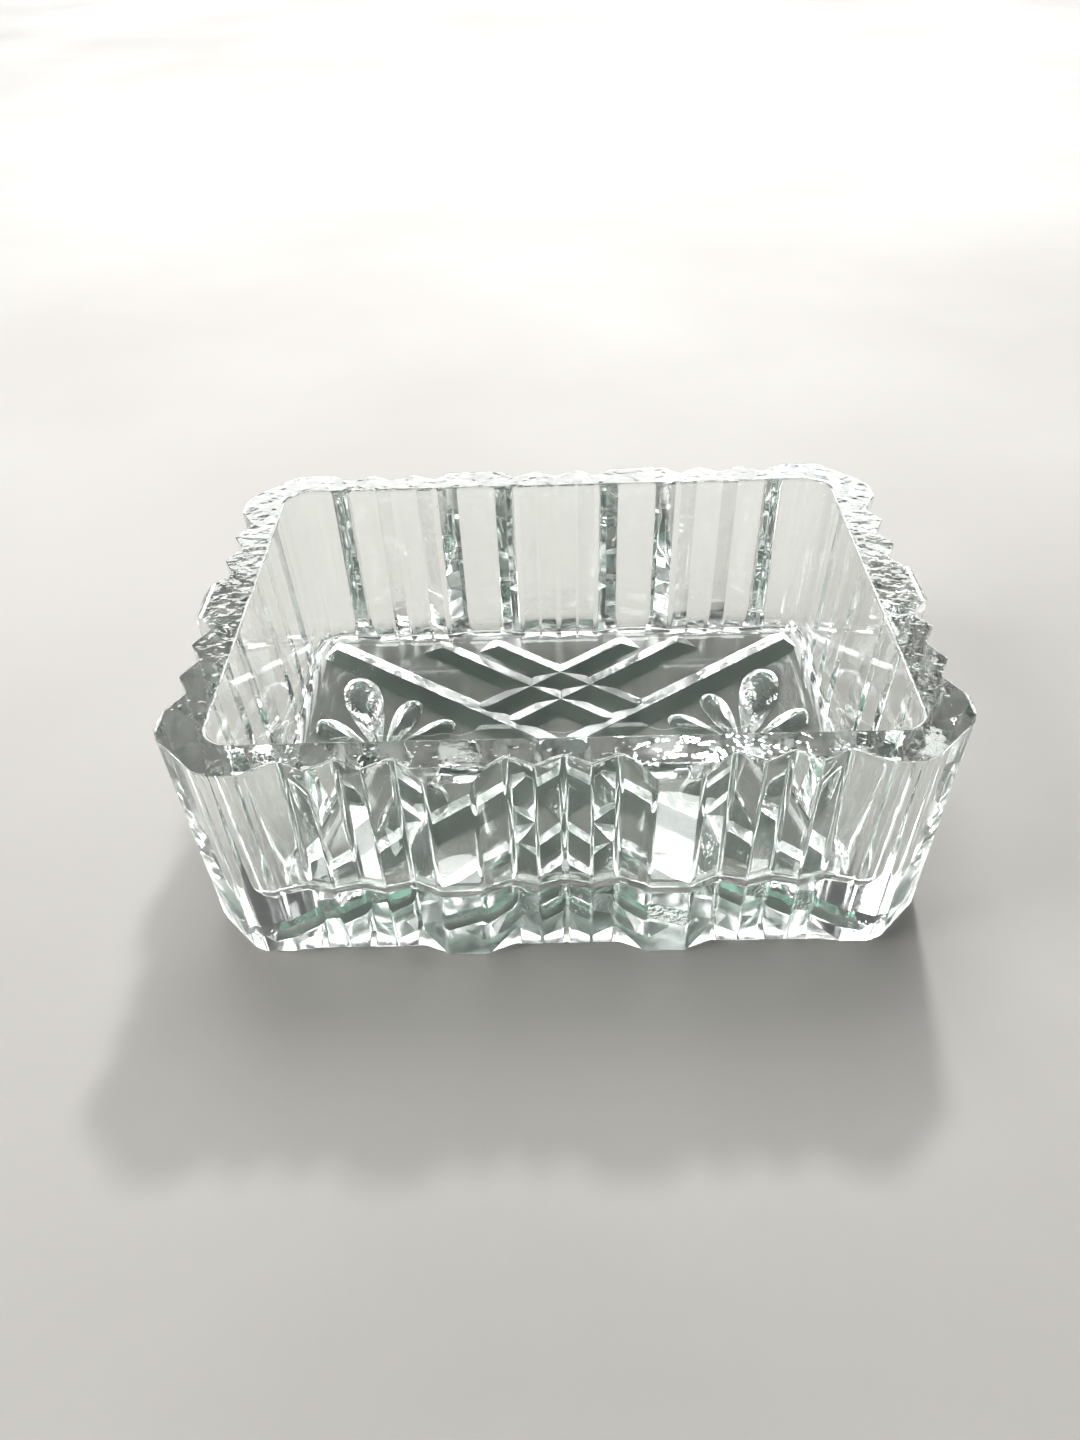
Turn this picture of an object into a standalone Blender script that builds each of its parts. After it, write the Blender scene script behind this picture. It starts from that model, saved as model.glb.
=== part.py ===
"""A pressed crystal-glass dappen dish: one thick rectangular moulding with prism flutes all round,
an open cup, and a cut star-and-flower pattern on the underside.

The origin is the middle of the underside. +X runs along the long side and +Z is up.
"""

from math import cos, pi, radians, sin

import bmesh
import bpy

MM = 0.001

# Overall form
HEIGHT = 31.7 * MM
HALF_LENGTH = 45.0 * MM  # middle of the dish to the ridge tips of a short side
HALF_WIDTH = 31.7 * MM  # middle of the dish to the ridge tips of a long side
DRAFT = 0.3 * MM  # how much each side leans in from the rim to the base
HEEL = 0.3 * MM  # bevel round the base
FOOT_TOP = 1.5 * MM  # the grooves run out between here and the heel, so the foot is plain

# Prism flutes
RIDGE_PITCH = 6.14 * MM
GROOVE_DEPTH = 1.69 * MM
PANEL_PITCH = 12.17 * MM
PANEL_FLAT = 5.2 * MM
PANEL_PROUD = 1.39 * MM  # how far a flat panel stands out past the ridge tips
LONG_SIDE = ("ridge", "ridge", "panel", "ridge", "ridge", "panel", "ridge", "ridge")
SHORT_SIDE = ("ridge", "ridge", "panel", "ridge", "ridge")

# Corner lobes
LOBE_PROUD = 0.4 * MM
LOBE_SLANT = 3.58 * MM
CHAMFER_LEG = 5.2 * MM
FACET_LONG = 1.62 * MM  # the narrow facet beside the chamfer, along the wall
FACET_SHORT = 0.67 * MM  # the same facet, across the wall

# Rim
RIM_PROUD = 0.4 * MM  # outer edge of the flat rim past the ridge tips
RIM_CORNER_RADIUS = 7.4 * MM
RIM_BEVEL_DROP = 2.4 * MM  # far enough down to clear the proudest panel
RIM_INNER_BEVEL = 0.35 * MM

# Cup
CUP_HALF_LENGTH = 39.7 * MM  # at the rim
CUP_HALF_WIDTH = 27.1 * MM
CUP_DEPTH = 25.5 * MM
CUP_DRAFT = 1.0 * MM
CUP_CORNER_RADIUS = 3.3 * MM
CUP_FLOOR_FILLET = 3.0 * MM

# Cuts in the underside
STAR_WIDTH = 5.4 * MM
STAR_DEPTH = 1.9 * MM
STAR_HALF_LENGTH = 38.5 * MM
STAR_HALF_WIDTH = 26.0 * MM
LINE_WIDTH = 4.4 * MM
LINE_DEPTH = 1.55 * MM
LINE_SLOPE = 0.70
LINE_CROSSINGS = (11.3 * MM, 17.7 * MM)  # where each pair of lines crosses the middle plane
LINE_OUTER_Y = 26.0 * MM
FLOWER_X = 26.5 * MM
FLOWER_HUB = 2.0 * MM
PETAL_STEP = radians(36)
PETAL_REACHES = (12.2 * MM, 13.6 * MM, 19.2 * MM, 13.2 * MM, 12.6 * MM, 12.2 * MM)  # from the end wall round
PETAL_WIDTH_SHARE = 0.38
PETAL_KEEL = (0.2, 0.88)  # where the keel starts and stops, as shares of a petal's length
PETAL_DEPTH = 1.8 * MM

CLEARANCE = 1.0 * MM  # how far a cutter runs past the face that it cuts
CORNER_STEPS = 5
FILLET_STEPS = 5
PETAL_POINTS = 14


def half_side(pattern, ridge_line, groove_depth, first_along):
    """One fluted side as (along, out) points, only those past first_along, out to its last groove."""
    pitches = {"ridge": RIDGE_PITCH, "panel": PANEL_PITCH}
    groove_line = ridge_line - groove_depth
    along = -sum(pitches[kind] for kind in pattern) / 2
    points = [(along, groove_line)]
    for kind in pattern:
        middle = along + pitches[kind] / 2
        if kind == "ridge":
            points.append((middle, ridge_line))
        else:
            points.append((middle - PANEL_FLAT / 2, ridge_line + PANEL_PROUD))
            points.append((middle + PANEL_FLAT / 2, ridge_line + PANEL_PROUD))
        along += pitches[kind]
        points.append((along, groove_line))
    return [point for point in points if point[0] > first_along]


def wall_outline(groove_depth):
    """The fluted outline at the rim, anticlockwise."""
    long_side = half_side(LONG_SIDE, HALF_WIDTH, groove_depth, -RIDGE_PITCH / 4)
    short_side = half_side(SHORT_SIDE, HALF_LENGTH, groove_depth, 0.0)
    lobe_x = HALF_LENGTH + LOBE_PROUD
    lobe_y = HALF_WIDTH + LOBE_PROUD
    leg = FACET_LONG + CHAMFER_LEG + FACET_SHORT
    corner = [
        (lobe_x, short_side[-1][0] + LOBE_SLANT),
        (lobe_x, lobe_y - leg),
        (lobe_x - FACET_SHORT, lobe_y - leg + FACET_LONG),
        (lobe_x - leg + FACET_LONG, lobe_y - FACET_SHORT),
        (lobe_x - leg, lobe_y),
        (long_side[-1][0] + LOBE_SLANT, lobe_y),
    ]
    first = [(out, along) for along, out in short_side] + corner + long_side[::-1]
    upper = first + [(-x, y) for x, y in first[-2::-1]]
    return upper + [(-x, -y) for x, y in upper]


def rounded_rectangle(half_x, half_y, radius, steps=CORNER_STEPS):
    """An anticlockwise rounded rectangle."""
    points = []
    for corner, (side_x, side_y) in enumerate(((1, 1), (-1, 1), (-1, -1), (1, -1))):
        for step in range(steps + 1):
            turn = (corner + step / steps) * pi / 2
            x = side_x * (half_x - radius) + radius * cos(turn)
            y = side_y * (half_y - radius) + radius * sin(turn)
            points.append((x, y))
    return points


def new_object(name, bm):
    mesh = bpy.data.meshes.new(name)
    bm.normal_update()
    bm.to_mesh(mesh)
    bm.free()
    obj = bpy.data.objects.new(name, mesh)
    bpy.context.scene.collection.objects.link(obj)
    return obj


def stack(rings):
    """A closed solid through (height, outline) rings, lowest first, as a mesh and its rings of vertices."""
    bm = bmesh.new()
    height, outline = rings[0]
    levels = [bm.faces.new([bm.verts.new((x, y, height)) for x, y in outline])]
    for height, outline in rings[1:]:
        grown = bmesh.ops.extrude_face_region(bm, geom=[levels[-1]])
        levels.append(next(item for item in grown["geom"] if isinstance(item, bmesh.types.BMFace)))
        for vert, (x, y) in zip(levels[-1].verts, outline):
            vert.co = (x, y, height)
    vert_rings = [list(level.verts) for level in levels]
    bmesh.ops.delete(bm, geom=levels[1:-1], context="FACES_ONLY")
    bmesh.ops.recalc_face_normals(bm, faces=bm.faces)
    return bm, vert_rings


def as_cutter(obj):
    obj.hide_render = True
    obj.display_type = "WIRE"
    return obj


def cut(obj, tool, operation="DIFFERENCE"):
    modifier = obj.modifiers.new(tool.name, "BOOLEAN")
    modifier.solver = "EXACT"
    modifier.operation = operation
    modifier.object = tool


def fluted_block():
    """The solid block inside the flutes, leaning in towards its base, with grooves that stop on a plain foot."""
    walls = wall_outline(GROOVE_DEPTH)
    foot = wall_outline(0.0)
    reach_x = HALF_LENGTH + PANEL_PROUD
    reach_y = HALF_WIDTH + PANEL_PROUD

    def drawn_in(outline, amount):
        return [(x * (1 - amount / reach_x), y * (1 - amount / reach_y)) for x, y in outline]

    bm, rings = stack([
        (0.0, drawn_in(foot, DRAFT + HEEL)),
        (HEEL, drawn_in(foot, DRAFT)),
        (FOOT_TOP, drawn_in(walls, DRAFT)),
        (HEIGHT, walls),
    ])
    grooves = [deep != plain for deep, plain in zip(walls, foot)]
    corners = [high if groove else low for low, high, groove in zip(rings[1], rings[2], grooves)]
    bmesh.ops.connect_verts(bm, verts=corners)  # a flat slope at the end of each groove
    return new_object("glass_dish", bm)


def rim_envelope():
    """What the block is trimmed to: a rounded rectangle at the rim that flares at 45 degrees below it."""
    rings = []
    for drop in (HEIGHT + CLEARANCE, RIM_BEVEL_DROP, 0.0):
        flare = RIM_PROUD + min(drop, RIM_BEVEL_DROP)
        radius = RIM_CORNER_RADIUS + min(drop, RIM_BEVEL_DROP)
        outline = rounded_rectangle(HALF_LENGTH + flare, HALF_WIDTH + flare, radius, 2 * CORNER_STEPS)
        rings.append((HEIGHT - drop, outline))
    return as_cutter(new_object("rim_envelope", stack(rings)[0]))


def cup_cutter():
    """The inside of the cup: drafted walls, rounded corners, a filleted floor and a small bevel at the rim."""
    floor_z = HEIGHT - CUP_DEPTH
    fillet_z = floor_z + CUP_FLOOR_FILLET
    rings = []
    for step in range(FILLET_STEPS + 1):
        turn = step / FILLET_STEPS * pi / 2
        shrink = CUP_DRAFT + CUP_FLOOR_FILLET * (1 - sin(turn))
        rings.append((fillet_z - CUP_FLOOR_FILLET * cos(turn), shrink))
    rings.append((HEIGHT - RIM_INNER_BEVEL, 0.0))
    rings.append((HEIGHT + CLEARANCE, -RIM_INNER_BEVEL - CLEARANCE))
    outlines = []
    for height, shrink in rings:
        radius = CUP_CORNER_RADIUS + min(0.0, CUP_DRAFT - shrink)
        outlines.append(
            (height, rounded_rectangle(CUP_HALF_LENGTH - shrink, CUP_HALF_WIDTH - shrink, radius))
        )
    return as_cutter(new_object("cup_cutter", stack(outlines)[0]))


def wheel_cut(name, outline, keel, depth):
    """A mitred cut up into the underside: an outline on the underside, rising to a keel line."""
    bm = bmesh.new()
    for x, y in outline:
        bm.verts.new((x, y, 0.0))
        bm.verts.new((x, y, -CLEARANCE))
    for x, y in keel:
        bm.verts.new((x, y, depth))
    hull = bmesh.ops.convex_hull(bm, input=bm.verts)
    spare = [item for item in hull["geom_interior"] if isinstance(item, bmesh.types.BMVert)]
    bmesh.ops.delete(bm, geom=spare, context="VERTS")
    bmesh.ops.dissolve_limit(bm, angle_limit=radians(1), verts=bm.verts, edges=bm.edges)
    return as_cutter(new_object(name, bm))


def straight_cut(name, start, end, width, depth):
    """A straight V cut with hipped ends."""
    run_x = end[0] - start[0]
    run_y = end[1] - start[1]
    length = (run_x**2 + run_y**2) ** 0.5
    step = (run_x / length * width / 2, run_y / length * width / 2)
    side = (-step[1], step[0])  # the ends are as far from the keel as the sides
    outline = [
        (start[0] - side[0], start[1] - side[1]),
        (end[0] - side[0], end[1] - side[1]),
        (end[0] + side[0], end[1] + side[1]),
        (start[0] + side[0], start[1] + side[1]),
    ]
    keel = [(start[0] + step[0], start[1] + step[1]), (end[0] - step[0], end[1] - step[1])]
    return wheel_cut(name, outline, keel, depth)


def petal_cut(name, centre_x, angle, reach):
    """An egg-shaped cut that points away from the flower's middle."""
    length = reach - FLOWER_HUB
    width = PETAL_WIDTH_SHARE * reach

    def placed(along, across):
        x = centre_x + along * cos(angle) - across * sin(angle)
        return x, along * sin(angle) + across * cos(angle)

    outline = []
    for point in range(PETAL_POINTS):
        turn = 2 * pi * point / PETAL_POINTS
        along = FLOWER_HUB + length * (0.5 + 0.5 * cos(turn))
        outline.append(placed(along, width / 2 * sin(turn) * (0.72 + 0.38 * cos(turn))))
    keel = [placed(FLOWER_HUB + share * length, 0.0) for share in PETAL_KEEL]
    return wheel_cut(name, outline, keel, PETAL_DEPTH)


def star_cuts():
    """The two main diagonals, and the crossing lines that stop on them in front and behind."""
    tools = []
    slope = STAR_HALF_WIDTH / STAR_HALF_LENGTH
    for mirror in (1, -1):
        start = (-STAR_HALF_LENGTH, -STAR_HALF_WIDTH * mirror)
        end = (STAR_HALF_LENGTH, STAR_HALF_WIDTH * mirror)
        tools.append(straight_cut(f"star_diagonal_{len(tools)}", start, end, STAR_WIDTH, STAR_DEPTH))
    for crossing in LINE_CROSSINGS:
        outer_x = (crossing - LINE_OUTER_Y) / LINE_SLOPE
        inner_x = crossing / (LINE_SLOPE + slope)
        for mirror_x, mirror_y in ((1, 1), (-1, 1), (-1, -1), (1, -1)):
            start = (mirror_x * outer_x, mirror_y * LINE_OUTER_Y)
            end = (mirror_x * inner_x, mirror_y * slope * inner_x)
            tools.append(straight_cut(f"star_line_{len(tools)}", start, end, LINE_WIDTH, LINE_DEPTH))
    return tools


def flower_cuts():
    """Ten petals round a point in each end sector, longest where the sector has most room."""
    tools = []
    for side in (1, -1):
        for turn in range(-4, 6):
            angle = turn * PETAL_STEP if side > 0 else pi - turn * PETAL_STEP
            reach = PETAL_REACHES[abs(turn)]
            tools.append(petal_cut(f"flower_petal_{len(tools)}", side * FLOWER_X, angle, reach))
    return tools


def cut_pattern(obj):
    cutters = bpy.data.collections.new("underside_cutters")
    bpy.context.scene.collection.children.link(cutters)
    cutters.hide_render = True
    for tool in star_cuts() + flower_cuts():
        bpy.context.scene.collection.objects.unlink(tool)
        cutters.objects.link(tool)
    modifier = obj.modifiers.new("underside_cuts", "BOOLEAN")
    modifier.solver = "EXACT"
    modifier.operand_type = "COLLECTION"
    modifier.collection = cutters


def crystal_glass():
    material = bpy.data.materials.new("crystal_glass")
    material.use_nodes = True
    shader = material.node_tree.nodes["Principled BSDF"]
    shader.inputs["Base Color"].default_value = (0.86, 0.93, 0.90, 1.0)
    shader.inputs["Metallic"].default_value = 0.0
    shader.inputs["Roughness"].default_value = 0.03
    shader.inputs["IOR"].default_value = 1.52
    shader.inputs["Transmission Weight"].default_value = 1.0
    return material


def main():
    for obj in list(bpy.data.objects):
        bpy.data.objects.remove(obj, do_unlink=True)
    dish = fluted_block()
    cut(dish, rim_envelope(), "INTERSECT")
    cut(dish, cup_cutter())
    cut_pattern(dish)
    dish.data.materials.append(crystal_glass())
    dish.data.shade_smooth()
    dish.data.set_sharp_from_angle(angle=radians(20))


main()
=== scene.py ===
from math import cos, pi, radians, sin

import bmesh
import bpy
from mathutils import Matrix, Vector


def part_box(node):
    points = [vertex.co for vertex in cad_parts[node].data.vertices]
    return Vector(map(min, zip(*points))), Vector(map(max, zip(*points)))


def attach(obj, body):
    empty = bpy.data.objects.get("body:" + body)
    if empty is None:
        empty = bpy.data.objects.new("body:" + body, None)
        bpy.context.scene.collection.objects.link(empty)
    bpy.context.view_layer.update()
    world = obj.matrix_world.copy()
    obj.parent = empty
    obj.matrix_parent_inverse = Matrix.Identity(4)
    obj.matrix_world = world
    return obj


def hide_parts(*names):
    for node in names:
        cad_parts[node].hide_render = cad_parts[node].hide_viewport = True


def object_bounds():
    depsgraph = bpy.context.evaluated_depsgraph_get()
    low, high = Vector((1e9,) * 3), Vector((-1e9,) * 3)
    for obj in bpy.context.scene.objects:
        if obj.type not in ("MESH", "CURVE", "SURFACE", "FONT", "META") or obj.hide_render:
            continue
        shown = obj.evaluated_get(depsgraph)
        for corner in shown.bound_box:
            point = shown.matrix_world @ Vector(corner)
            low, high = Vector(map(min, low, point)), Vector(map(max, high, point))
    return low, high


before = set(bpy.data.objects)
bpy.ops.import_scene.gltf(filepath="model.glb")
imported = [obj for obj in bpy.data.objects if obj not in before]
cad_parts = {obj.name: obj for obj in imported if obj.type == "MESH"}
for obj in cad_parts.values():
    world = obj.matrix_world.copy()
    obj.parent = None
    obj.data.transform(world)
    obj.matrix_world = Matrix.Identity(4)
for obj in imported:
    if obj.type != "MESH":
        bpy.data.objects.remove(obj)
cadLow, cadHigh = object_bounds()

toMetres = 0.001  # the dish is modelled in millimetres, then scaled once
sliverSize = 0.003  # millimetres
touching = 0.001  # millimetres, counts as the same place
nearby = 0.01
clearance = 1.0  # how far a tool runs past the dish
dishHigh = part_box("glass_dish")[1] / toMetres


def isKind(items, kind):
    return [item for item in items if isinstance(item, kind)]


def newObject(name, bm):
    mesh = bpy.data.meshes.new(name)
    bm.normal_update()
    bm.to_mesh(mesh)
    bm.free()
    obj = bpy.data.objects.new(name, mesh)
    bpy.context.scene.collection.objects.link(obj)
    return obj


def extrudeTo(bm, face, height, scaleX=1.0, scaleY=1.0):
    # carries a copy of a level face to a new height, with walls between the two
    grown = bmesh.ops.extrude_face_region(bm, geom=[face])
    copy = isKind(grown["geom"], bmesh.types.BMFace)[0]
    level = copy.verts[0].co.z
    bmesh.ops.translate(bm, verts=copy.verts, vec=(0, 0, height - level))
    bmesh.ops.scale(bm, verts=copy.verts, vec=(scaleX, scaleY, 1))
    return copy


def roundCorners(bm, corners, offset, steps):
    bmesh.ops.bevel(
        bm, geom=corners, offset=offset, offset_type="OFFSET", affect="VERTICES",
        segments=steps, profile=0.5, material=-1,
    )


def roundEdges(bm, edges, offset, steps):
    bmesh.ops.bevel(
        bm, geom=edges, offset=offset, offset_type="OFFSET", affect="EDGES",
        segments=steps, profile=0.5, material=-1,
    )


# the moulding's outside, in millimetres
wallShape = {
    "longSide": ("ridge", "ridge", "panel", "ridge", "ridge", "panel", "ridge", "ridge"),
    "shortSide": ("ridge", "ridge", "panel", "ridge", "ridge"),
    "ridgePitch": 6.14,
    "grooveDepth": 1.69,
    "panelPitch": 12.17,
    "panelFlat": 5.2,
    "panelProud": 1.39,  # how far a flat panel stands out past the ridge tips
    "lobeProud": 0.4,  # the same for a corner
    "lobeSlant": 3.58,
    "chamferLeg": 5.2,
    "facetLong": 1.62,
    "facetShort": 0.67,
    "draft": 0.3,
    "footTop": 1.5,  # each groove runs out in a slope from here down to the heel
    "heelHeight": 0.32,
    "heelRound": 0.28,
    "rimEdgeRound": 0.22,
    "ridgeRound": 0.3,  # how far fire polish reaches back from each upright edge
    "grooveRound": 0.6,
    "panelRound": 0.45,
    "lobeRound": 0.35,
    "roundSteps": 4,
    "edgeSteps": 3,  # round the rim's edge and the heel
}
ridgeX = dishHigh.x - wallShape["panelProud"]  # out to the ridge tips
ridgeY = dishHigh.y - wallShape["panelProud"]


def sidePoints(pattern, ridgeLine):
    # along one side from its first groove to its last, as (along, out)
    s = wallShape
    pitch = {"ridge": s["ridgePitch"], "panel": s["panelPitch"]}
    groove = ridgeLine - s["grooveDepth"]
    along = -sum(pitch[kind] for kind in pattern) / 2
    points = [(along, groove)]
    for kind in pattern:
        middle = along + pitch[kind] / 2
        if kind == "ridge":
            points.append((middle, ridgeLine))
        else:
            proud = ridgeLine + s["panelProud"]
            points += [(middle - s["panelFlat"] / 2, proud), (middle + s["panelFlat"] / 2, proud)]
        along += pitch[kind]
        points.append((along, groove))
    return points


def quarterOutline():
    # from the middle of the right side, round one corner, to the middle of the back
    s = wallShape
    longPart = [point for point in sidePoints(s["longSide"], ridgeY) if point[0] > -nearby]
    shortPart = [point for point in sidePoints(s["shortSide"], ridgeX) if point[0] > 0]
    lobeX = ridgeX + s["lobeProud"]
    lobeY = ridgeY + s["lobeProud"]
    leg = s["facetLong"] + s["chamferLeg"] + s["facetShort"]
    lobe = [
        (lobeX, shortPart[-1][0] + s["lobeSlant"]),
        (lobeX, lobeY - leg),
        (lobeX - s["facetShort"], lobeY - leg + s["facetLong"]),
        (lobeX - leg + s["facetLong"], lobeY - s["facetShort"]),
        (lobeX - leg, lobeY),
        (longPart[-1][0] + s["lobeSlant"], lobeY),
    ]
    return [(out, along) for along, out in shortPart], lobe, longPart[::-1]


def softenOutline(bm, lobe):
    s = wallShape
    lobeCorners = [
        v for v in bm.verts if abs(v.co.x) > lobe[-1][0] - nearby and abs(v.co.y) > lobe[0][1] - nearby
    ]
    roundCorners(bm, lobeCorners, s["lobeRound"], s["roundSteps"])
    for out, offset in (
        (-s["grooveDepth"], s["grooveRound"]), (0.0, s["ridgeRound"]), (s["panelProud"], s["panelRound"]),
    ):
        corners = [
            v for v in bm.verts
            if abs(abs(v.co.x) - ridgeX - out) < touching or abs(abs(v.co.y) - ridgeY - out) < touching
        ]
        roundCorners(bm, corners, offset, s["roundSteps"])


def runOutGrooves(base, heel, lobe, slimX, slimY):
    # brings the grooves out to the ridge line at the heel; returns the ends of each slope's diagonals
    lineX = ridgeX * slimX
    lineY = ridgeY * slimY
    diagonals = []
    for high, low in zip(base.verts, heel.verts):
        x, y = abs(low.co.x), abs(low.co.y)
        if x < lobe[-1][0] * slimX - nearby and y < lineY - nearby:
            low.co.y = lineY if low.co.y > 0 else -lineY
            diagonals.append(high)
        elif y < lobe[0][1] * slimY - nearby and x < lineX - nearby:
            low.co.x = lineX if low.co.x > 0 else -lineX
            diagonals.append(high)
        else:
            diagonals.append(low)
    return diagonals


def flutedBlock():
    s = wallShape
    shortPart, lobe, longPart = quarterOutline()
    bm = bmesh.new()
    chain = [bm.verts.new((x, y, 0)) for x, y in shortPart + lobe + longPart]
    for first, second in zip(chain, chain[1:]):
        bm.edges.new((first, second))
    for axis in ("X", "Y"):
        bmesh.ops.mirror(bm, geom=bm.verts[:] + bm.edges[:], axis=axis, merge_dist=touching)
    looseEnds = [v for v in bm.verts if len(v.link_edges) == 1]
    for side in (1, -1):
        bm.edges.new([v for v in looseEnds if v.co.x * side > 0])  # closes the short sides' panels
    bmesh.ops.contextual_create(bm, geom=bm.edges[:])
    softenOutline(bm, lobe)
    base = bm.faces[:][0]
    base.normal_update()
    if base.normal.z > 0:
        bmesh.ops.reverse_faces(bm, faces=[base])
    slimX = 1 - s["draft"] / dishHigh.x
    slimY = 1 - s["draft"] / dishHigh.y
    bmesh.ops.scale(bm, verts=base.verts, vec=(slimX, slimY, 1))
    bmesh.ops.translate(bm, verts=base.verts, vec=(0, 0, s["footTop"]))
    top = extrudeTo(bm, base, dishHigh.z, 1 / slimX, 1 / slimY)
    heel = extrudeTo(bm, base, s["heelHeight"])
    diagonals = runOutGrooves(base, heel, lobe, slimX, slimY)
    bottom = extrudeTo(bm, heel, 0.0)
    bmesh.ops.delete(bm, geom=[base, heel], context="FACES_ONLY")
    bmesh.ops.connect_verts(bm, verts=diagonals)
    bmesh.ops.recalc_face_normals(bm, faces=bm.faces)
    roundEdges(bm, top.edges[:], s["rimEdgeRound"], s["edgeSteps"])
    roundEdges(bm, bottom.edges[:], s["heelRound"], s["edgeSteps"])
    return newObject("flutedBlock", bm)


def roundedPlate(bm, halfX, halfY, radius, height, steps):
    signs = ((1, 1), (-1, 1), (-1, -1), (1, -1))
    corners = [bm.verts.new((x * halfX, y * halfY, height)) for x, y in signs]
    bm.faces.new(corners)
    roundCorners(bm, corners, radius, steps)
    return bm.faces[:][0]


rimShape = {
    "proud": 0.4,  # the flat rim's edge, past the ridge tips
    "cornerRadius": 7.4,
    "cornerSteps": 24,
    "flare": 2.4,  # how far the 45 degree bevel runs down
    "shoulderRound": 0.7,
    "innerRound": 0.45,
    "roundSteps": 5,
    "hair": 0.02,  # keeps curved tools from lying in the rim's own plane
}


def rimEnvelope():
    # what the block is trimmed to: straight up from below, then in at 45 degrees to the rim
    s = rimShape
    bm = bmesh.new()
    out = s["proud"] + s["flare"]
    radius = s["cornerRadius"] + s["flare"]
    plate = roundedPlate(bm, ridgeX + out, ridgeY + out, radius, -clearance, s["cornerSteps"])
    top = extrudeTo(bm, plate, dishHigh.z - s["flare"] + s["hair"])
    bmesh.ops.inset_region(bm, faces=[top], thickness=s["flare"], depth=s["flare"], use_even_offset=True)
    bmesh.ops.recalc_face_normals(bm, faces=bm.faces)
    roundEdges(bm, top.edges[:], s["shoulderRound"], s["roundSteps"])
    return newObject("rimEnvelope", bm)


cupShape = {
    "halfLength": 39.7,  # at the rim
    "halfWidth": 27.1,
    "depth": 25.5,
    "draft": 1.0,
    "cornerRadius": 3.3,
    "floorFillet": 3.0,
    "steps": 10,
}


def cupTool():
    s = cupShape
    bm = bmesh.new()
    floorX = s["halfLength"] - s["draft"]
    floorY = s["halfWidth"] - s["draft"]
    lip = rimShape["innerRound"]
    lipSteps = rimShape["roundSteps"]
    floor = roundedPlate(bm, floorX, floorY, s["cornerRadius"], dishHigh.z - s["depth"], s["steps"])
    mouth = extrudeTo(bm, floor, dishHigh.z - lip, s["halfLength"] / floorX, s["halfWidth"] / floorY)
    levels = [mouth]
    sizeX, sizeY = s["halfLength"], s["halfWidth"]
    for step in range(1, lipSteps + 1):
        turn = step / lipSteps * pi / 2
        height = dishHigh.z - lip + lip * sin(turn) + rimShape["hair"]
        newX = s["halfLength"] + lip * (1 - cos(turn))
        newY = s["halfWidth"] + lip * (1 - cos(turn))
        mouth = extrudeTo(bm, mouth, height, newX / sizeX, newY / sizeY)
        sizeX, sizeY = newX, newY
        levels.append(mouth)
    extrudeTo(bm, mouth, dishHigh.z + 2 * clearance)
    bmesh.ops.delete(bm, geom=levels, context="FACES_ONLY")
    bmesh.ops.recalc_face_normals(bm, faces=bm.faces)
    roundEdges(bm, floor.edges[:], s["floorFillet"], s["steps"])
    return newObject("cupTool", bm)


# the star and the two flowers under the floor
cutShape = {
    "starWidth": 5.4,
    "starDepth": 1.9,
    "starHalfLength": 38.5,
    "starHalfWidth": 26.0,
    "lineWidth": 4.4,
    "lineDepth": 1.55,
    "lineSlope": 0.70,
    "lineCrossings": (11.3, 17.7),
    "lineOuterY": 26.0,
    "flowerX": 26.5,
    "flowerHub": 2.0,
    "petalReaches": (12.2, 13.6, 19.2, 13.2, 12.6, 12.2),  # from the end wall round
    "petalWidthShare": 0.38,
    "petalKeel": (0.2, 0.88),
    "petalDepth": 1.8,
    "petalPoints": 28,
    "petalStep": 36,  # degrees, ten to a flower
    "petalBody": 0.72,  # a petal's half width, as shares of the full one
    "petalSwell": 0.38,  # and how much more it is towards the tip
}


def hullCut(name, outline, keel, depth):
    bm = bmesh.new()
    for x, y in outline:
        bm.verts.new((x, y, 0))
        bm.verts.new((x, y, -clearance))
    for x, y in keel:
        bm.verts.new((x, y, depth))
    hull = bmesh.ops.convex_hull(bm, input=bm.verts)
    spare = set(isKind(hull["geom_interior"] + hull["geom_unused"], bmesh.types.BMVert))
    bmesh.ops.delete(bm, geom=list(spare), context="VERTS")
    return newObject(name, bm)


def straightCut(name, start, end, width, depth):
    start, end = Vector(start), Vector(end)
    step = (end - start).normalized() * width / 2
    side = Vector((-step.y, step.x))
    outline = [start - side, end - side, end + side, start + side]
    return hullCut(name, outline, [start + step, end - step], depth)


def petalCut(name, centreX, angle, reach):
    s = cutShape
    length = reach - s["flowerHub"]
    turned = Matrix.Rotation(angle, 2)
    middle = Vector((centreX, 0))
    outline = []
    for point in range(s["petalPoints"]):
        turn = 2 * pi * point / s["petalPoints"]
        along = s["flowerHub"] + length * (0.5 + 0.5 * cos(turn))
        swell = s["petalBody"] + s["petalSwell"] * cos(turn)
        across = s["petalWidthShare"] * reach / 2 * sin(turn) * swell
        outline.append(middle + turned @ Vector((along, across)))
    keel = [middle + turned @ Vector((s["flowerHub"] + length * share, 0)) for share in s["petalKeel"]]
    return hullCut(name, outline, keel, s["petalDepth"])


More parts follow.
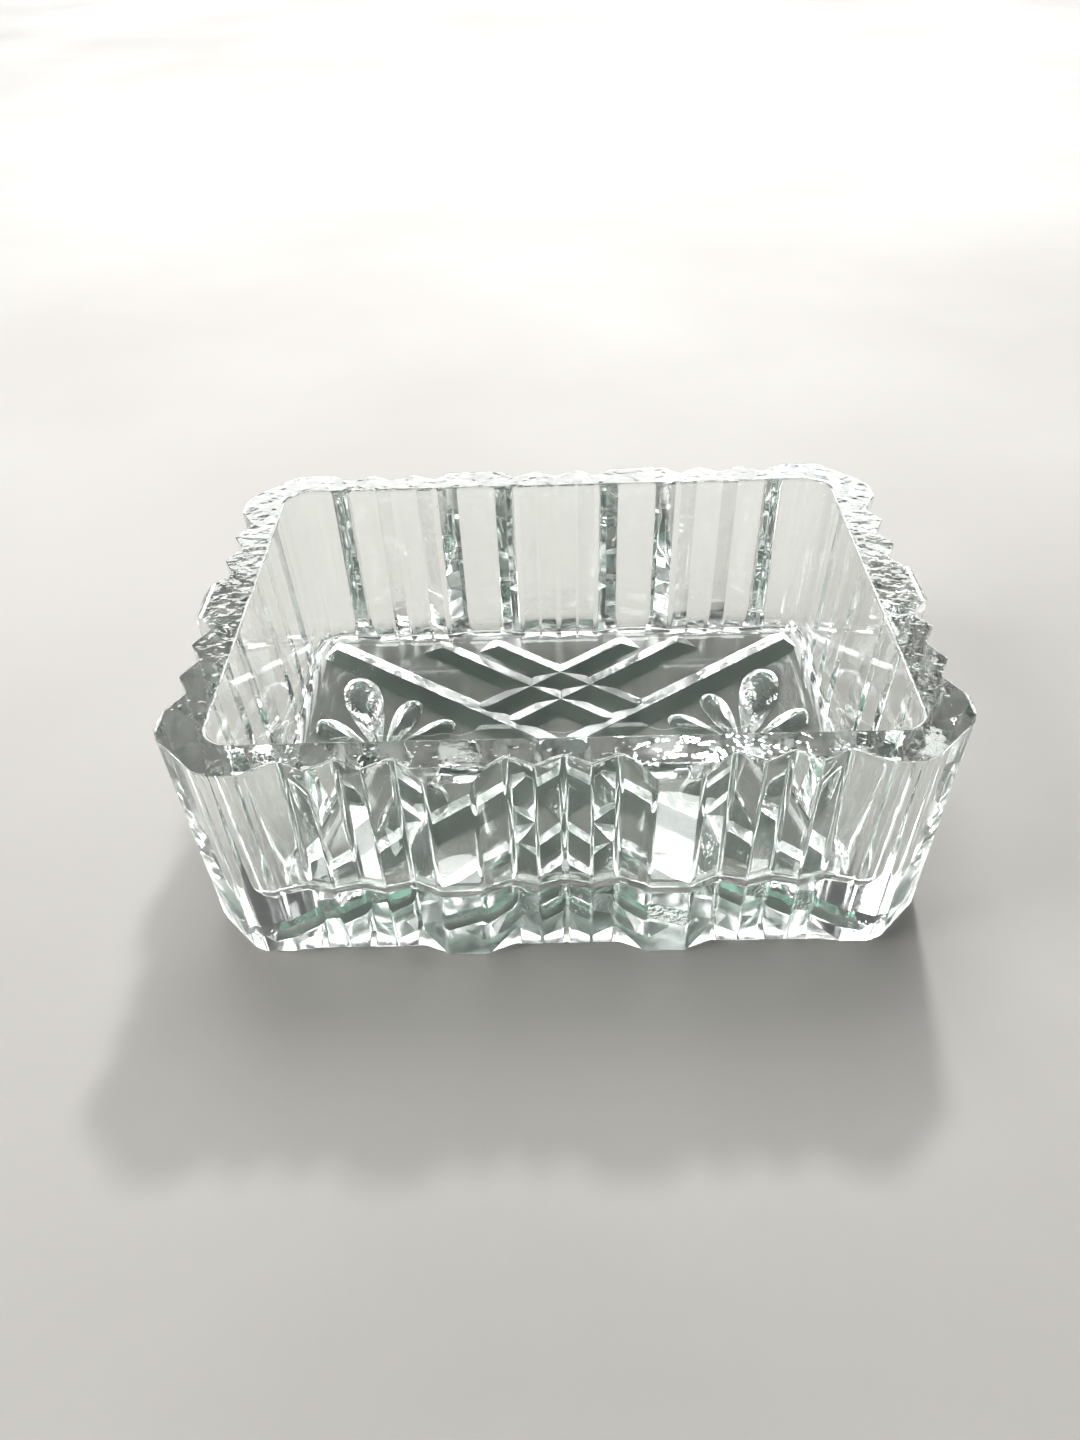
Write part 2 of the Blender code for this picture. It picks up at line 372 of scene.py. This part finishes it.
def undersideTools():
    s = cutShape
    tools = []
    slope = s["starHalfWidth"] / s["starHalfLength"]
    for mirror in (1, -1):
        end = (s["starHalfLength"], s["starHalfWidth"] * mirror)
        start = (-end[0], -end[1])
        tools.append(straightCut("starDiagonal", start, end, s["starWidth"], s["starDepth"]))
    for crossing in s["lineCrossings"]:
        outerX = (crossing - s["lineOuterY"]) / s["lineSlope"]
        innerX = crossing / (s["lineSlope"] + slope)
        for mirrorX, mirrorY in ((1, 1), (-1, 1), (-1, -1), (1, -1)):
            start = (mirrorX * outerX, mirrorY * s["lineOuterY"])
            end = (mirrorX * innerX, mirrorY * slope * innerX)
            tools.append(straightCut("starLine", start, end, s["lineWidth"], s["lineDepth"]))
    for side in (1, -1):
        for turn in range(-4, 6):
            angle = turn * radians(s["petalStep"])
            if side < 0:
                angle = pi - angle
            tools.append(petalCut("petal", side * s["flowerX"], angle, s["petalReaches"][abs(turn)]))
    return tools


def booleanStep(obj, tools, operation):
    # one boolean, applied at once, and its tools removed
    box = bpy.data.collections.new("tools")
    bpy.context.scene.collection.children.link(box)
    for tool in tools:
        bpy.context.scene.collection.objects.unlink(tool)
        box.objects.link(tool)
    step = obj.modifiers.new("step", "BOOLEAN")
    step.solver = "EXACT"
    step.operation = operation
    if len(tools) > 1:
        step.operand_type = "COLLECTION"
        step.collection = box
    else:
        step.object = tools[0]
    graph = bpy.context.evaluated_depsgraph_get()
    made = bpy.data.meshes.new_from_object(obj.evaluated_get(graph))
    obj.modifiers.clear()
    obj.data = made
    for tool in tools:
        bpy.data.objects.remove(tool, do_unlink=True)
    bpy.data.collections.remove(box)


def linear(hexCode):
    channels = [int(hexCode[i:i + 2], 16) / 255 for i in (0, 2, 4)]
    flat = [c / 12.92 if c <= 0.04045 else ((c + 0.055) / 1.055) ** 2.4 for c in channels]
    return (*flat, 1.0)


def addNode(tree, kind, settings=None, links=None):
    # a node, its settings (attributes or input values) and what feeds its inputs
    node = tree.nodes.new(kind)
    for key, value in (settings or {}).items():
        if isinstance(key, str) and hasattr(node, key):
            setattr(node, key, value)
        else:
            node.inputs[key].default_value = value
    for key, source in (links or {}).items():
        tree.links.new(source, node.inputs[key])
    return node


def newMaterial(name):
    material = bpy.data.materials.new(name)
    material.use_nodes = True
    material.node_tree.nodes.clear()
    return material, material.node_tree


glassLook = {
    "tint": "fafdfb",
    "absorb": "e0e8e5",
    "density": 5.5,  # absorption per metre
    "ior": 1.52,  # soda-lime glass
    "waveSize": 9.0,  # mm, slow waves left by pressing
    "waveDepth": 0.04,  # mm
    "rippleSize": 1.7,  # mm, where the mould's ring met the rim
    "rippleDepth": 0.14,
    "rippleBand": 1.5,  # mm down from the rim where it starts
    "rippleTop": 0.1,  # and where it is full
    "seedSpacing": 7.0,  # mm between tiny bubbles lying at the surface
    "seedRadius": 0.22,
    "seedDepth": 0.05,
    "seedCore": 0.3,
    "hazeSize": 14.0,  # mm, patches rubbed by handling
    "hazeStart": 0.5,  # levels of the patch noise
    "hazeFull": 0.75,
    "hazeRoughness": 0.012,
    "wearBand": 0.8,  # mm up from the table, where the heel is scuffed
    "wearGrain": 1.1,
    "wearRoughness": 0.18,
    "scuffSpot": (-0.0405, -0.0305, 0.0225),  # metres, the spot that was rubbed
    "scuffRadius": 3.2,  # mm
    "scuffGrain": 0.6,
    "scuffDepth": 0.25,
    "cutRoughness": 0.04,
    "cutPatch": 3.0,  # mm, how the roughness varies
    "cutClear": 0.9,
    "grainSize": 0.7,  # mm, the mould's texture inside the cuts
    "grainDepth": 0.06,
}


def addBand(tree, height, low, high):
    # 0 at the low height and 1 at the high one, both in millimetres
    band = addNode(tree, "ShaderNodeMapRange", {
        "From Min": low * toMetres, "From Max": high * toMetres,
    }, {"Value": height})
    return band.outputs["Result"]


def addNoise(tree, place, size, detail=1.0):
    noise = addNode(
        tree, "ShaderNodeTexNoise", {"Scale": 1 / (size * toMetres), "Detail": detail}, {"Vector": place},
    )
    return noise.outputs["Fac"]


def addBump(tree, height, depth, normal=None, strength=None):
    links = {"Height": height}
    if normal:
        links["Normal"] = normal
    if strength:
        links["Strength"] = strength
    bump = addNode(tree, "ShaderNodeBump", {"Distance": depth * toMetres}, links)
    return bump.outputs["Normal"]


def glassBody(material, tree, normal, roughness, clear):
    g = glassLook
    shader = addNode(tree, "ShaderNodeBsdfPrincipled", {
        "Base Color": linear(g["tint"]),
        "IOR": g["ior"],
        "Transmission Weight": clear,
    }, {"Normal": normal, "Roughness": roughness})
    inside = addNode(
        tree, "ShaderNodeVolumeAbsorption", {"Color": linear(g["absorb"]), "Density": g["density"]},
    )
    addNode(
        tree, "ShaderNodeOutputMaterial", None,
        {"Surface": shader.outputs["BSDF"], "Volume": inside.outputs["Volume"]},
    )
    return material


def pressedCrystal():
    # soda-lime glass, pressed and fire polished: clear and bright, slow waves, grey-green only where thick
    g = glassLook
    material, tree = newMaterial("pressedCrystal")
    place = addNode(tree, "ShaderNodeTexCoord").outputs["Object"]
    height = addNode(tree, "ShaderNodeSeparateXYZ", None, {"Vector": place}).outputs["Z"]

    normal = addBump(tree, addNoise(tree, place, g["waveSize"]), g["waveDepth"])
    rim = addBand(tree, height, dishHigh.z - g["rippleBand"], dishHigh.z - g["rippleTop"])
    normal = addBump(tree, addNoise(tree, place, g["rippleSize"], detail=2.0), g["rippleDepth"], normal, rim)

    seeds = addNode(
        tree, "ShaderNodeTexVoronoi", {"Scale": 1 / (g["seedSpacing"] * toMetres)}, {"Vector": place},
    )
    seedEdge = g["seedRadius"] / g["seedSpacing"]
    seed = addNode(
        tree, "ShaderNodeMapRange", {"From Min": seedEdge, "From Max": seedEdge * g["seedCore"]},
        {"Value": seeds.outputs["Distance"]},
    )
    normal = addBump(tree, seed.outputs["Result"], g["seedDepth"], normal)

    # one rubbed spot on the front left corner
    reach = addNode(
        tree, "ShaderNodeVectorMath", {"operation": "DISTANCE", 1: g["scuffSpot"]}, {0: place},
    )
    spot = addNode(
        tree, "ShaderNodeMapRange", {"From Min": g["scuffRadius"] * toMetres, "From Max": 0.0},
        {"Value": reach.outputs["Value"]},
    )
    scuffs = addNoise(tree, place, g["scuffGrain"], detail=3.0)
    normal = addBump(tree, scuffs, g["scuffDepth"], normal, spot.outputs["Result"])

    # a little haze where hands rub, more where the heel meets the table
    rubbed = addNode(tree, "ShaderNodeMapRange", {
        "From Min": g["hazeStart"], "From Max": g["hazeFull"], "To Max": g["hazeRoughness"],
    }, {"Value": addNoise(tree, place, g["hazeSize"], detail=3.0)})
    heelBand = addBand(tree, height, g["wearBand"], 0.0)
    wear = addNoise(tree, place, g["wearGrain"], detail=3.0)
    heel = addNode(tree, "ShaderNodeMath", {"operation": "MULTIPLY"}, {0: heelBand, 1: wear})
    worn = addNode(
        tree, "ShaderNodeMath", {"operation": "MULTIPLY_ADD", 1: g["wearRoughness"]},
        {0: heel.outputs["Value"], 2: rubbed.outputs["Result"]},
    )
    return glassBody(material, tree, normal, worn.outputs["Value"], 1.0)


def mouldedCuts():
    # the same glass inside the cuts, which fire polish doesn't reach: the mould's grain scatters light white
    g = glassLook
    material, tree = newMaterial("mouldedCuts")
    place = addNode(tree, "ShaderNodeTexCoord").outputs["Object"]
    normal = addBump(tree, addNoise(tree, place, g["grainSize"]), g["grainDepth"])
    rough = addNode(
        tree, "ShaderNodeMapRange", {"To Max": g["cutRoughness"]},
        {"Value": addNoise(tree, place, g["cutPatch"], detail=2.0)},
    )
    return glassBody(material, tree, normal, rough.outputs["Result"], g["cutClear"])


def mergeSlivers(mesh):
    # the cuts meet the flat in a few edges far too short to see
    bm = bmesh.new()
    bm.from_mesh(mesh)
    bmesh.ops.remove_doubles(bm, verts=bm.verts, dist=sliverSize)
    bmesh.ops.dissolve_degenerate(bm, edges=bm.edges, dist=sliverSize)
    bm.to_mesh(mesh)
    bm.free()


sharpAngle = 22  # degrees; below it an edge is a part of a round


def buildDish():
    dish = flutedBlock()
    booleanStep(dish, [rimEnvelope()], "INTERSECT")
    booleanStep(dish, [cupTool()], "DIFFERENCE")
    booleanStep(dish, undersideTools(), "DIFFERENCE")
    mesh = dish.data
    mergeSlivers(mesh)
    mesh.materials.clear()
    mesh.materials.append(pressedCrystal())
    mesh.materials.append(mouldedCuts())
    for face in mesh.polygons:
        inPattern = abs(face.center.x) < cupShape["halfLength"] and abs(face.center.y) < cupShape["halfWidth"]
        low = face.center.z < cutShape["starDepth"]
        slanted = face.normal.z > -0.99  # all but the flat underside
        face.material_index = int(inPattern and low and slanted)
    mesh.transform(Matrix.Scale(toMetres, 4))
    dish.name = "crystalDish"
    mesh.name = "crystalDish"
    mesh.shade_smooth()
    mesh.set_sharp_from_angle(angle=radians(sharpAngle))
    weigh = dish.modifiers.new("weigh", "WEIGHTED_NORMAL")
    weigh.keep_sharp = True
    weigh.weight = 100
    return dish


dish = buildDish()
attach(dish, "root")
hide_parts("glass_dish")
print("dish built:", len(dish.data.polygons), "faces")


tableLook = {
    "halfSize": 3.0,  # metres
    "gap": 0.0003,  # metres, a hair of air under the glass
    "paint": "8c8a86",
    "rubbedPaint": "959390",
    "patchSize": 120.0,  # mm, where the paint is polished by use
    "patchStart": 0.3,
    "patchFull": 0.7,
    "smoothRoughness": 0.6,
    "dullRoughness": 0.75,
    "specular": 0.25,
    "waveSize": 45.0,  # mm, roller marks
    "waveDepth": 0.02,
    "scratchLength": 60.0,  # mm
    "scratchGap": 2.5,
    "scratchTurn": 25,  # degrees
    "scratchDepth": 0.012,
}


def paleTable():
    # pale matt paint on a board, so the light stays soft: polished patches, roller waves, hairline scratches
    t = tableLook
    material, tree = newMaterial("paleTable")
    place = addNode(tree, "ShaderNodeTexCoord").outputs["Object"]
    patches = addNoise(tree, place, t["patchSize"], detail=4.0)
    paint = addNode(tree, "ShaderNodeMix", {"data_type": "RGBA"}, {"Factor": patches})
    paint.inputs["A"].default_value = linear(t["paint"])
    paint.inputs["B"].default_value = linear(t["rubbedPaint"])
    rough = addNode(tree, "ShaderNodeMapRange", {
        "From Min": t["patchStart"], "From Max": t["patchFull"],
        "To Min": t["dullRoughness"], "To Max": t["smoothRoughness"],
    }, {"Value": patches})
    stretched = addNode(
        tree, "ShaderNodeMapping",
        {
            "Rotation": (0, 0, radians(t["scratchTurn"])),
            "Scale": (t["scratchGap"] / t["scratchLength"], 1, 1),
        },
        {"Vector": place},
    )
    normal = addBump(tree, addNoise(tree, place, t["waveSize"], detail=2.0), t["waveDepth"])
    scratches = addNoise(tree, stretched.outputs["Vector"], t["scratchGap"], detail=4.0)
    normal = addBump(tree, scratches, t["scratchDepth"], normal)
    shader = addNode(tree, "ShaderNodeBsdfPrincipled", {"Specular IOR Level": t["specular"]}, {
        "Base Color": paint.outputs[2], "Roughness": rough.outputs["Result"], "Normal": normal,
    })
    addNode(tree, "ShaderNodeOutputMaterial", None, {"Surface": shader.outputs["BSDF"]})
    return material


def buildFloor():
    bm = bmesh.new()
    bmesh.ops.create_grid(bm, x_segments=1, y_segments=1, size=tableLook["halfSize"])
    bmesh.ops.translate(bm, verts=bm.verts, vec=(0, 0, -tableLook["gap"]))
    floor = newObject("floor", bm)
    floor.data.materials.append(paleTable())


buildFloor()
print("table laid")


# large soft sources; watts, metres
studioLights = {
    "overhead": {"place": (0.0, 0.35, 0.75), "aim": (0, 0, 0.01), "size": (0.5, 0.35), "power": 4.8},
    "backWall": {"place": (0.0, 1.6, 0.52), "aim": (0, 0, 0), "size": (3.4, 1.0), "power": 60},
    "leftWindow": {"place": (-0.6, -0.1, 0.5), "aim": (0, 0, 0.01), "size": (0.35, 0.35), "power": 4.5},
    "sparkle": {"place": (0.12, 0.5, 0.62), "aim": (0, 0, 0.01), "size": (0.06, 0.06), "power": 4},
}
roomLight = 0.1  # what the room sends back from every side
lightBounces = 40  # light goes many times round inside the flutes


def lightStudio():
    world = bpy.data.worlds.new("studio")
    world.use_nodes = True
    room = world.node_tree.nodes["Background"]
    room.inputs["Color"].default_value = linear("ffffff")
    room.inputs["Strength"].default_value = roomLight
    bpy.context.scene.world = world
    for name, values in studioLights.items():
        light = bpy.data.lights.new(name, "AREA")
        light.shape = "RECTANGLE"
        light.size, light.size_y = values["size"]
        light.energy = values["power"]
        lamp = bpy.data.objects.new(name, light)
        lamp.location = values["place"]
        facing = Vector(values["aim"]) - Vector(values["place"])
        lamp.rotation_euler = facing.to_track_quat("-Z", "Y").to_euler()
        bpy.context.scene.collection.objects.link(lamp)
    for limit in ("max_bounces", "transmission_bounces", "glossy_bounces"):
        setattr(bpy.context.scene.cycles, limit, lightBounces)
    bpy.context.scene.view_settings.view_transform = "Standard"  # keeps the glints crisp
    bpy.context.scene.view_settings.look = "Medium High Contrast"


lightStudio()
print("lights up:", len(studioLights))


# a wide lens about thirteen centimetres from the dish
viewLens = {
    "focal": 25.84,
    "sensor": 36,
    "place": (-0.00035, -0.10921, 0.07608 + cadHigh.z),
    "turn": (48.066, 1.663, -0.078),
}


def placeCamera():
    lens = bpy.data.cameras.new("view")
    lens.lens = viewLens["focal"]
    lens.sensor_width = viewLens["sensor"]
    lens.clip_start = 0.005
    lens.clip_end = 20
    camera = bpy.data.objects.new("view", lens)
    camera.location = viewLens["place"]
    camera.rotation_euler = [radians(angle) for angle in viewLens["turn"]]
    bpy.context.scene.collection.objects.link(camera)
    bpy.context.scene.camera = camera


placeCamera()
print("camera set")
